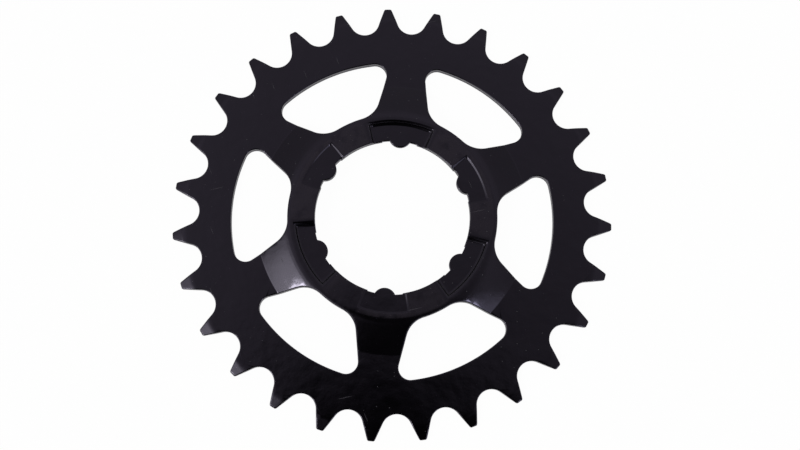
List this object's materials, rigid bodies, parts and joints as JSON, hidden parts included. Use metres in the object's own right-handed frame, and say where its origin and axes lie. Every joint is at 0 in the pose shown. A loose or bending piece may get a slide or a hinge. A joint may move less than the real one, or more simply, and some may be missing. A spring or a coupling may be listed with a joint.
{
  "type": "bicycle sprocket",
  "caption": "Dished bicycle sprocket in black coated steel: toothed rim, tapered spokes and a raised hub ring with a lobed bore that slides on a hub driver.",
  "frame": {"origin": "on the axle line, in the plane of the rim's back face, which the sprocket lies on", "axes": "+Z along the axle towards the raised hub face; +Y through a bore lobe that is in line with a tooth gap"},
  "size_m": [0.1154, 0.1153, 0.0055],
  "materials": {
    "black_steel": "semi-gloss black coat on stamped steel"
  },
  "bodies": {
    "root": {"sprocket": "black_steel"}
  },
  "joints": []
}
